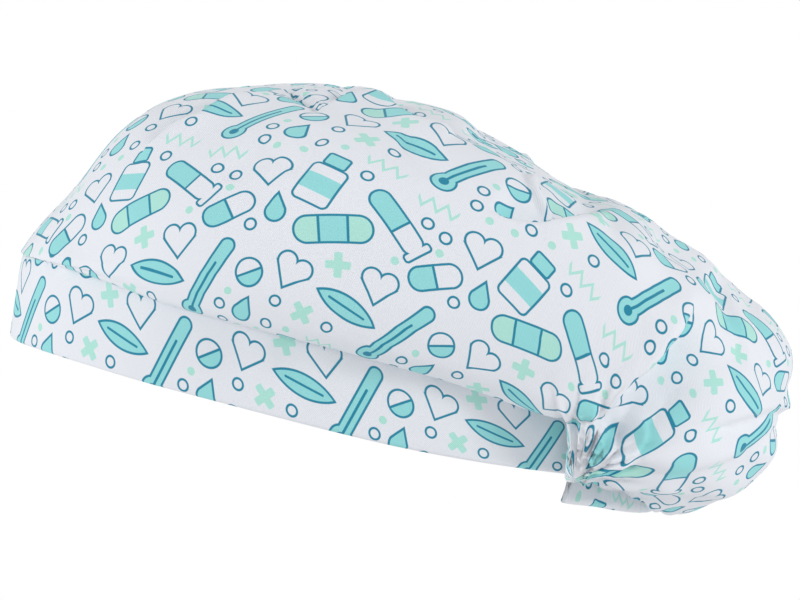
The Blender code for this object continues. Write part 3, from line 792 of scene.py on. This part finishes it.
def box(tree, at, half, corner, centre=(0.0, 0.0)):
    """Distance from a box with rounded corners."""
    if any(centre):
        at = add(tree, "VectorMath", at, (*centre, 0.0), operation="SUBTRACT")
    at = add(tree, "VectorMath", at, operation="ABSOLUTE")
    straight = (half[0] - corner, half[1] - corner, 0.0)
    gap = add(tree, "VectorMath", at, straight, operation="SUBTRACT")
    gap = add(tree, "VectorMath", gap, (0.0, 0.0, 0.0), operation="MAXIMUM")
    gap = add(tree, "VectorMath", gap, operation="LENGTH")
    return add(tree, "Math", gap, corner, operation="SUBTRACT")


def disc(tree, at, centre, radius):
    """Distance from a round spot."""
    gap = add(tree, "VectorMath", at, (*centre, 0.0), operation="DISTANCE")
    return add(tree, "Math", gap, radius, operation="SUBTRACT")


def past(tree, at, way, limit):
    """Distance beyond a straight line that lies across way at limit."""
    along = add(tree, "VectorMath", at, (*way, 0.0), operation="DOT_PRODUCT")
    return add(tree, "Math", along, limit, operation="SUBTRACT")


def stripe(tree, at, way, middle, half):
    """Distance from a straight stripe across way."""
    gap = past(tree, at, way, middle)
    gap = add(tree, "Math", gap, operation="ABSOLUTE")
    return add(tree, "Math", gap, half, operation="SUBTRACT")


def folded(tree, at, axis):
    """The place with one axis made positive, for a shape that is alike on both sides of it."""
    parts = add(tree, "SeparateXYZ", at).node.outputs
    sides = [parts[0], parts[1]]
    sides[axis] = add(tree, "Math", sides[axis], operation="ABSOLUTE")
    return add(tree, "CombineXYZ", *sides)


# Each motif gives the distances from its outline, its aqua fill, its mint fill and its drawn
# lines, or leaves one out. Its sizes and places are millimetres from its own middle, and a long
# motif lies along the first axis.
def thermometer(tree, at):
    shape = smaller(tree, box(tree, at, (15.0, 2.4), 2.4), disc(tree, at, (-13.0, 0.0), 3.9))
    thread = box(tree, at, (9.5, 0.45), 0.4, (-3.0, 0.0))
    bulb = disc(tree, at, (-13.0, 0.0), 1.6)
    return {"outline": shape, "aqua": shape, "drawn": smaller(tree, thread, bulb)}


def test_tube(tree, at):
    glass = box(tree, at, (11.5, 3.5), 3.4)
    lip = box(tree, at, (1.3, 4.7), 1.0, (11.2, 0.0))
    liquid = within(tree, glass, past(tree, at, (1.0, 0.0), 2.0))
    return {"outline": smaller(tree, glass, lip), "aqua": liquid,
            "drawn": within(tree, glass, stripe(tree, at, (1.0, 0.0), 2.0, 0.4))}


def bottle(tree, at):
    body = box(tree, at, (7.4, 5.8), 1.8, (-2.6, 0.0))
    lid = box(tree, at, (2.5, 3.6), 0.9, (7.7, 0.0))
    label = within(tree, body, stripe(tree, at, (1.0, 0.0), -2.6, 3.2))
    return {"outline": smaller(tree, add(tree, "Math", body, operation="ABSOLUTE"),
                               add(tree, "Math", lid, operation="ABSOLUTE")),
            "aqua": smaller(tree, lid, label)}


def plaster(tree, at):
    strip = box(tree, at, (12.0, 4.3), 4.2)
    pad = within(tree, strip, stripe(tree, at, (1.0, 0.0), 0.0, 4.4))
    rims = stripe(tree, folded(tree, at, 0), (1.0, 0.0), 4.4, 0.42)
    return {"outline": strip, "aqua": pad, "mint": strip, "drawn": within(tree, strip, rims)}


def capsule(tree, at):
    shell = box(tree, at, (8.6, 3.8), 3.7)
    return {"outline": shell, "aqua": within(tree, shell, past(tree, at, (1.0, 0.0), 0.0)),
            "drawn": within(tree, shell, stripe(tree, at, (1.0, 0.0), 0.0, 0.42))}


def heart(tree, at):
    side = folded(tree, at, 0)
    lobe = disc(tree, side, (2.8, 1.9), 3.1)
    point = within(tree, past(tree, side, (0.766, -0.643), 4.02), past(tree, at, (0.0, 1.0), 0.4))
    return {"outline": smaller(tree, lobe, point, disc(tree, at, (0.0, 0.3), 2.3))}


def leaf(tree, at):
    side = folded(tree, at, 1)
    blade = disc(tree, side, (0.0, -15.0), 18.6)
    return {"outline": blade, "aqua": blade, "drawn": box(tree, at, (7.0, 0.4), 0.35)}


def tablet(tree, at):
    face = disc(tree, at, (0.0, 0.0), 4.4)
    score = within(tree, face, stripe(tree, at, (0.0, 1.0), 0.0, 0.4))
    return {"outline": face, "aqua": within(tree, face, past(tree, at, (0.0, 1.0), 0.0)),
            "drawn": score}


def drop(tree, at):
    side = folded(tree, at, 1)
    tail = within(tree, past(tree, side, (0.5, 0.866), 2.6), past(tree, at, (-1.0, 0.0), -0.4))
    shape = smaller(tree, disc(tree, at, (-1.2, 0.0), 3.2), tail)
    return {"outline": shape, "aqua": shape}


def plus(tree, at):
    return {"mint": smaller(tree, box(tree, at, (4.0, 1.3), 0.6), box(tree, at, (1.3, 4.0), 0.6))}


def pulse(tree, at):
    parts = add(tree, "SeparateXYZ", at).node.outputs
    wave = add(tree, "Math", parts[0], 2.4, operation="PINGPONG")
    wave = add(tree, "Math", wave, 1.7, -2.0, operation="MULTIPLY_ADD")
    gap = add(tree, "Math", parts[1], wave, operation="SUBTRACT")
    gap = add(tree, "Math", gap, operation="ABSOLUTE")
    gap = add(tree, "Math", gap, 0.5, -0.42, operation="MULTIPLY_ADD")
    return {"mint": within(tree, gap, stripe(tree, at, (1.0, 0.0), 0.0, 6.6))}


DRAWINGS = {
    "thermometer": thermometer, "test_tube": test_tube, "bottle": bottle, "plaster": plaster,
    "capsule": capsule, "heart": heart, "leaf": leaf, "tablet": tablet, "drop": drop,
    "plus": plus, "pulse": pulse,
}


def in_repeat(tree, cloth, along, up):
    """The place on the cloth, moved by whole repeats to within half of one from a point."""
    half = PRINT_REPEAT / 2
    most, least = (along + half, up + half, 0.0), (along - half, up - half, 0.0)
    return add(tree, "VectorMath", cloth, most, least, operation="WRAP")


def ink(tree, distance):
    """How much ink there is at a distance from a shape, with the soft edge of a print."""
    return add(
        tree, "MapRange", distance, INK_EDGE, -INK_EDGE, 0.0, 1.0, interpolation_type="SMOOTHSTEP")


def draw_print(tree, cloth):
    """How much mint, aqua and teal ink lies at each place of the cloth."""
    layers = {"outline": None, "aqua": None, "mint": None, "drawn": None}

    def lay(name, distance):
        known = layers[name]
        layers[name] = distance if known is None else smaller(tree, known, distance)

    for row in MOTIFS:
        motif = dict(zip(MOTIF_COLUMNS, row))
        place = in_repeat(tree, cloth, motif["along"], motif["up"])
        at = add(
            tree, "Mapping", place, (motif["along"], motif["up"], 0.0),
            (0.0, 0.0, math.radians(motif["turn"])), (1.0, 1.0, 1.0), vector_type="TEXTURE",
        )
        for name, distance in DRAWINGS[motif["kind"]](tree, at).items():
            if name == "outline":
                distance = add(tree, "Math", distance, operation="ABSOLUTE")
            lay(name, distance)
    spots = {}
    for name, places in (("ring", RING_PLACES), ("dot", DOT_PLACES)):
        gaps = []
        for along, up in places:
            place = in_repeat(tree, cloth, along, up)
            gaps.append(add(tree, "VectorMath", place, (along, up, 0.0), operation="DISTANCE"))
        spots[name] = smaller(tree, *gaps)
    ring = add(tree, "Math", spots["ring"], RING_RADIUS, operation="SUBTRACT")
    lay("outline", add(tree, "Math", ring, operation="ABSOLUTE"))
    lay("mint", add(tree, "Math", spots["dot"], DOT_RADIUS, operation="SUBTRACT"))
    lines = add(tree, "Math", layers["outline"], LINE_WIDTH / 2, operation="SUBTRACT")
    teal = ink(tree, smaller(tree, lines, layers["drawn"]))
    return ink(tree, layers["mint"]), ink(tree, layers["aqua"]), teal


def bare_tree(block):
    """The empty node tree of a new material or world."""
    block.use_nodes = True
    block.node_tree.nodes.clear()
    return block.node_tree


def cloth_material(name, colours, white, ink_share=1.0):
    """Cotton and polyester twill, woven white and printed on one side: matt, with a faint
    diagonal rib that breaks up the light and a slight fuzz at grazing angles."""
    material = bpy.data.materials.new(name)
    tree = bare_tree(material)
    cloth = add(tree, "UVMap", uv_map="cloth")

    # The rib runs down towards the nape, one for each pair of threads
    turn = 2 * math.pi / TWILL_PITCH / math.sqrt(2)
    rib = add(tree, "VectorMath", cloth, (turn, turn, 0.0), operation="DOT_PRODUCT")
    rib = add(tree, "Math", rib, operation="SINE")
    slub = add(tree, "TexNoise", cloth, SLUB_SCALE, 2.0, 0.5, noise_dimensions="2D")
    height = add(tree, "Math", rib, 0.5, slub, operation="MULTIPLY_ADD")

    shade = add(tree, "MapRange", rib, -1.0, 1.0, TWILL_SHADE, 1.0)
    tint = add(tree, "MapRange", slub, 0.3, 0.7, SLUB_SHADE, 1.0)
    shade = add(tree, "Math", shade, tint, operation="MULTIPLY")
    colour = add(tree, "Mix", 1.0, white, shade, data_type="RGBA", blend_type="MULTIPLY")
    for share, name in zip(draw_print(tree, cloth), ("mint", "aqua", "teal")):
        if ink_share < 1.0:
            share = add(tree, "Math", share, ink_share, operation="MULTIPLY")
        colour = add(tree, "Mix", share, colour, getattr(colours, name), data_type="RGBA")

    bump = add(tree, "Bump", 0.5, TWILL_RELIEF, 0.1, height)
    shader = add(tree, "BsdfPrincipled", colour)
    inputs = shader.node.inputs
    tree.links.new(bump, inputs["Normal"])
    inputs["Roughness"].default_value = 0.9
    inputs["Specular IOR Level"].default_value = 0.2
    inputs["Sheen Weight"].default_value = 0.15
    inputs["Sheen Roughness"].default_value = 0.5
    add(tree, "OutputMaterial", shader)
    return material


def reverse_material(colours):
    """The wrong side of the same twill: white, with the print showing through faintly."""
    name = "printed cotton twill, reverse"
    return cloth_material(name, colours, colours.reverse, SHOW_THROUGH)


# Density of the strips: degrees between columns, and rows down the outside, round the fold and
# up the inside. Their upper edge is turned in by TURN_IN.
BAND_STEP = 0.8
CASING_STEP = 0.3
OUTSIDE_ROWS = 16
FOLD_ROWS = 6
INSIDE_ROWS = 7
TURN_IN = 0.0003

# Soft waves of the band: their depth, their seed, number and shortest and longest length in
# millimetres, the height that they run over, and the power with which they rise from its edges
BAND_WAVE = 0.00025
BAND_WAVES = (3, 7, 24.0, 60.0)
BAND_WAVES_HEIGHT = 0.03
BAND_WAVES_EDGE = 0.5

# The casing's cut ends lean, with the lower corner CASING_SLANT further forward, and are pressed
# flat to CASING_END_SHARE of its thickness. Each fades out over its share of the way along.
CASING_SLANT = 0.0062
CASING_SLANT_REACH = 0.12
CASING_END_SHARE = 0.4
CASING_END_REACH = 0.08

# Pleats of the casing, and how they wander along it: by how many radians, and how fast
CASING_PLEATS = 24
CASING_PLEAT_DEPTH = 0.0011
CASING_SWAY, CASING_SWAY_WAVES = 0.8, 9.0
CASING_RIPPLE, CASING_RIPPLE_WAVES, CASING_RIPPLE_START = 0.4, 23.0, 1.0

# Where the print starts on the strips, in millimetres
BAND_PRINT_PLACE = (12.0, 40.0)
CASING_PRINT_PLACE = (30.0, 18.0)


def folded_strip(
    name, angles, foot, head, bottom, top, thickness, lift, place, material, slant=0.0, knee=1.0,
):
    """A strip folded in half along its lower edge: down the outside, round and up the inside.
    Gives the piece. lift tells how far the outside moves out at a share of the height, and slant
    moves the lower edge along, in degrees, from the share of the height named knee down."""
    half = thickness / 2
    outline = [(-TURN_IN, 1.0, 0.0)]
    for share in np.linspace(1.0, 0.0, OUTSIDE_ROWS):
        outline.append((0.0, share, -TURN_IN if share == 1.0 else 0.0))
    for turn in np.linspace(0.0, math.pi, FOLD_ROWS + 2)[1:-1]:
        outline.append((-half * (1.0 - math.cos(turn)), 0.0, -half * math.sin(turn)))
    for share in np.linspace(0.0, 1.0, INSIDE_ROWS):
        outline.append((-thickness, share, 0.0))
    points = []
    for out, share, down in outline:
        reach = mix(foot, head, share) + out + lift(share) * (out > -half)
        height = mix(bottom + half, top, share) + down
        x, y = heading(angles + slant * np.maximum(1.0 - share / knee, 0.0))
        points.append(np.stack((x * reach, y * reach, height), axis=1))
    grid = np.stack(points, axis=1)
    rim = np.linalg.norm(np.diff(grid[:, OUTSIDE_ROWS], axis=0), axis=1)
    along = np.concatenate(((0.0,), np.cumsum(rim))) / MM
    steps = np.linalg.norm(np.diff(grid, axis=1), axis=2).mean(axis=0)
    down = np.concatenate(((0.0,), np.cumsum(steps))) / MM
    cloth = np.stack(np.broadcast_arrays(along[:, None] + place[0], place[1] - down), axis=2)
    faces = grid_faces(*grid.shape[:2], closed=False)[:, ::-1].tolist()
    last = len(grid[0]) * (len(grid) - 1)
    faces.append(list(range(len(grid[0]))))
    faces.append([last + index for index in reversed(faces[-1])])
    places = cloth.reshape(-1, 2)
    corners = [places[face] for face in faces]
    return add_piece(name, grid.reshape(-1, 3), faces, corners, [material])


def sew_band(colours):
    """The strip round the forehead and temples, folded along its lower edge."""
    count = round(2 * BAND_END_ANGLE / BAND_STEP)
    angles = np.linspace(-BAND_END_ANGLE, BAND_END_ANGLE, count + 1)
    bottom = rim_height(angles)
    top = bottom + band_height(angles)
    x, y = heading(angles)

    def lift(share):
        height = np.full_like(x, share * BAND_WAVES_HEIGHT)
        spots = np.stack((x * HALF_WIDTH, y * HALF_LENGTH, height), axis=1)
        depth = BAND_WAVE * math.sin(math.pi * share) ** BAND_WAVES_EDGE
        return depth * sway_lift(spots, *BAND_WAVES)

    return folded_strip(
        "printed_band", angles, rim_radius(angles), top_radius(angles), bottom, top,
        BAND_THICKNESS, lift, BAND_PRINT_PLACE,
        cloth_material("printed cotton twill, band", colours, colours.ground),
    )


def sew_casing(colours):
    """The strip across the nape, folded over the elastic and gathered by it."""
    gap = math.degrees(CLEARANCE / rim_radius(BAND_END_ANGLE))
    first, last = BAND_END_ANGLE + gap, 360.0 - BAND_END_ANGLE - gap
    angles = np.linspace(first, last, round((last - first) / CASING_STEP) + 1)
    share_along = (angles - first) / (last - first)
    middle = np.sin(math.pi * share_along)
    inset = (CASING_THICKNESS - BAND_THICKNESS) / 2
    bottom = rim_height(angles) - mix(CASING_FALL_END, CASING_FALL_MIDDLE, middle)
    foot = rim_radius(angles) + inset * middle
    sway = CASING_SWAY * np.sin(CASING_SWAY_WAVES * share_along)
    sway += CASING_RIPPLE * np.sin(CASING_RIPPLE_WAVES * share_along + CASING_RIPPLE_START)
    ribs = np.abs(np.cos(math.pi * CASING_PLEATS * share_along + sway)) - PLEAT_MEAN
    near_end = 1.0 - ease(share_along, 0.0, CASING_SLANT_REACH)
    far_end = ease(share_along, 1.0 - CASING_SLANT_REACH, 1.0)
    slant = np.degrees(CASING_SLANT / foot) * (far_end - near_end)

    top = seam_height(angles)
    flat_end = 1.0 - ease(np.minimum(share_along, 1.0 - share_along), 0.0, CASING_END_REACH)
    thickness = CASING_THICKNESS * mix(1.0, CASING_END_SHARE, flat_end)
    knee = (rim_height(angles) - bottom) / (top - bottom)

    def lift(share):
        return CASING_PLEAT_DEPTH * ribs * np.sqrt(middle)

    return folded_strip(
        "printed_casing", angles, foot, foot, bottom, top, thickness, lift, CASING_PRINT_PLACE,
        cloth_material("printed cotton twill, casing", colours, colours.ground), slant, knee,
    )


class CapSizes(bpy.types.PropertyGroup):
    """Sizes that shape the cloth beyond its solids."""

    front_unevenness: bpy.props.FloatProperty(
        name="Front Unevenness", description="Soft waves in the smooth front of the crown",
        default=0.00022, subtype="DISTANCE", unit="LENGTH", precision=5,
    )
    back_unevenness: bpy.props.FloatProperty(
        name="Back Unevenness", description="Soft waves in the loose back of the crown",
        default=0.0007, subtype="DISTANCE", unit="LENGTH", precision=5,
    )
    print_shift_u: bpy.props.FloatProperty(
        name="Print Shift Along", description="Where the print starts along the crown's seam",
        default=0.0, subtype="DISTANCE", unit="LENGTH",
    )
    print_shift_v: bpy.props.FloatProperty(
        name="Print Shift Up", description="Where the print starts above the crown's seam",
        default=0.0, subtype="DISTANCE", unit="LENGTH",
    )


class CapColours(bpy.types.PropertyGroup):
    """Colours of the cloth and of the inks on it."""

    ground: bpy.props.FloatVectorProperty(
        name="Cloth", description="White of the printed side",
        default=linear("#EFF2F7"), min=0.0, max=1.0, size=4, subtype="COLOR",
    )
    reverse: bpy.props.FloatVectorProperty(
        name="Reverse", description="White of the wrong side",
        default=linear("#E4E6EE"), min=0.0, max=1.0, size=4, subtype="COLOR",
    )
    mint: bpy.props.FloatVectorProperty(
        name="Mint Ink", description="Palest fill of the print",
        default=linear("#B4E8DC"), min=0.0, max=1.0, size=4, subtype="COLOR",
    )
    aqua: bpy.props.FloatVectorProperty(
        name="Aqua Ink", description="Deeper fill of the print",
        default=linear("#9ADFE0"), min=0.0, max=1.0, size=4, subtype="COLOR",
    )
    teal: bpy.props.FloatVectorProperty(
        name="Teal Ink", description="Outlines and drawn lines of the print",
        default=linear("#2A8AA6"), min=0.0, max=1.0, size=4, subtype="COLOR",
    )


class CapLook(bpy.types.PropertyGroup):
    """Light of the studio."""

    key_power: bpy.props.FloatProperty(
        name="Key Power", description="Soft light from the front and the wearer's left",
        default=26.0, min=0.0, subtype="POWER", unit="POWER",
    )
    back_power: bpy.props.FloatProperty(
        name="Back Power", description="Soft light from behind and the wearer's left",
        default=23.0, min=0.0, subtype="POWER", unit="POWER",
    )
    top_power: bpy.props.FloatProperty(
        name="Top Power", description="Soft light from above",
        default=0.8, min=0.0, subtype="POWER", unit="POWER",
    )
    fill_strength: bpy.props.FloatProperty(
        name="Fill Strength", description="Light from the white surroundings",
        default=0.64, min=0.0,
    )
    floor_strength: bpy.props.FloatProperty(
        name="Floor Strength", description="Light that the white floor throws back up",
        default=0.80, min=0.0,
    )


class SewCrown(bpy.types.Operator):
    """Sew the bouffant crown with its folds, gathers and print"""

    bl_idname = "scrub_cap.sew_crown"
    bl_label = "Sew Crown"

    def execute(self, context):
        crown = sew_crown(context.scene.cap_sizes, context.scene.cap_colours)
        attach(crown, "root")
        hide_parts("crown")
        return {"FINISHED"}


class SewBand(bpy.types.Operator):
    """Sew the smooth forehead band, one strip folded in half"""

    bl_idname = "scrub_cap.sew_band"
    bl_label = "Sew Band"

    def execute(self, context):
        band = sew_band(context.scene.cap_colours)
        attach(band, "root")
        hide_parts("band")
        return {"FINISHED"}


class SewCasing(bpy.types.Operator):
    """Sew the gathered casing across the nape"""

    bl_idname = "scrub_cap.sew_casing"
    bl_label = "Sew Casing"

    def execute(self, context):
        casing = sew_casing(context.scene.cap_colours)
        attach(casing, "root")
        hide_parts("nape_casing")
        return {"FINISHED"}


# Camera: square on to the wearer's left from SIDE_VIEW_RISE above, with a long lens
PICTURE_WIDTH = 0.276
PICTURE_CENTRE = (0.0, 0.0235, 0.0370)
CAMERA_DISTANCE = 2.4
SENSOR_WIDTH = 36.0
CAMERA_CLIP = (0.05, 50.0)

# White paper floor, far enough down to take no shadow that shows
FLOOR_DROP = 0.30
FLOOR_HALF = 12.0

# Square lamps that all point at LAMP_AIM: name, place and size
LAMPS = (
    ("key", (0.95, -2.5, 0.8), 0.7),
    ("back", (1.0, 2.35, 0.75), 0.7),
    ("top", (0.2, 0.1, 2.2), 1.3),
)
LAMP_AIM = (0.0, 0.02, 0.04)


def white_where_seen(tree, kind, output, strength):
    """Plain white to the camera, and a white light of its own strength on the cloth."""
    light = add(tree, kind, linear("#FCFDFF"), strength)
    seen = add(tree, kind, (1.0, 1.0, 1.0, 1.0), 1.0)
    direct = add(tree, "LightPath")
    add(tree, output, add(tree, "MixShader", direct, light, seen))


class SetStage(bpy.types.Operator):
    """Set the floor, the soft studio light and the camera"""

    bl_idname = "scrub_cap.set_stage"
    bl_label = "Set Stage"

    def execute(self, context):
        look = context.scene.cap_look
        bpy.ops.object.select_all(action="DESELECT")
        bpy.ops.mesh.primitive_plane_add(size=2 * FLOOR_HALF, location=(0.0, 0.0, -FLOOR_DROP))
        floor = context.object
        floor.name = "floor"
        white = bpy.data.materials.new("matt white paper floor")
        white_where_seen(bare_tree(white), "Emission", "OutputMaterial", look.floor_strength)
        floor.data.materials.append(white)

        for name, place, size in LAMPS:
            light = bpy.data.lights.new(name, "AREA")
            light.size = size
            light.energy = getattr(look, name + "_power")
            lamp = bpy.data.objects.new(name, light)
            lamp.location = place
            aim = Vector(LAMP_AIM) - lamp.location
            lamp.rotation_euler = aim.to_track_quat("-Z", "Y").to_euler()
            context.collection.objects.link(lamp)

        world = bpy.data.worlds.new("white studio")
        white_where_seen(bare_tree(world), "Background", "OutputWorld", look.fill_strength)
        context.scene.world = world

        lens = bpy.data.cameras.new("long lens")
        lens.sensor_width = SENSOR_WIDTH
        lens.lens = SENSOR_WIDTH * CAMERA_DISTANCE / PICTURE_WIDTH
        lens.clip_start, lens.clip_end = CAMERA_CLIP
        camera = bpy.data.objects.new("camera", lens)
        back = Vector((math.cos(SIDE_VIEW_RISE), 0.0, math.sin(SIDE_VIEW_RISE)))
        camera.location = Vector(PICTURE_CENTRE) + back * CAMERA_DISTANCE
        camera.rotation_euler = (-back).to_track_quat("-Z", "Y").to_euler()
        context.collection.objects.link(camera)
        context.scene.camera = camera
        context.scene.view_settings.view_transform = "Standard"
        return {"FINISHED"}


class ScrubCapPanel(bpy.types.Panel):
    """Sizes, colours, light and steps of the scrub cap."""

    bl_idname = "VIEW3D_PT_scrub_cap"
    bl_label = "Scrub Cap"
    bl_space_type = "VIEW_3D"
    bl_region_type = "UI"
    bl_category = "Scrub Cap"

    def draw(self, context):
        for settings in SETTINGS:
            group = getattr(context.scene, settings)
            column = self.layout.box()
            for name in group.__annotations__:
                column.prop(group, name)
        for operator in OPERATORS:
            self.layout.operator(operator.bl_idname)


OPERATORS = (SewBand, SewCrown, SewCasing, SetStage)
SETTINGS = {"cap_sizes": CapSizes, "cap_colours": CapColours, "cap_look": CapLook}
CLASSES = (*SETTINGS.values(), *OPERATORS, ScrubCapPanel)


def register():
    for kind in CLASSES:
        bpy.utils.register_class(kind)
    for name, kind in SETTINGS.items():
        setattr(bpy.types.Scene, name, bpy.props.PointerProperty(type=kind))


def unregister():
    for name in SETTINGS:
        delattr(bpy.types.Scene, name)
    for kind in reversed(CLASSES):
        bpy.utils.unregister_class(kind)


def main():
    register()
    bpy.ops.scrub_cap.sew_band()
    bpy.ops.scrub_cap.sew_crown()
    bpy.ops.scrub_cap.sew_casing()
    bpy.ops.scrub_cap.set_stage()


if __name__ == "__main__":
    main()
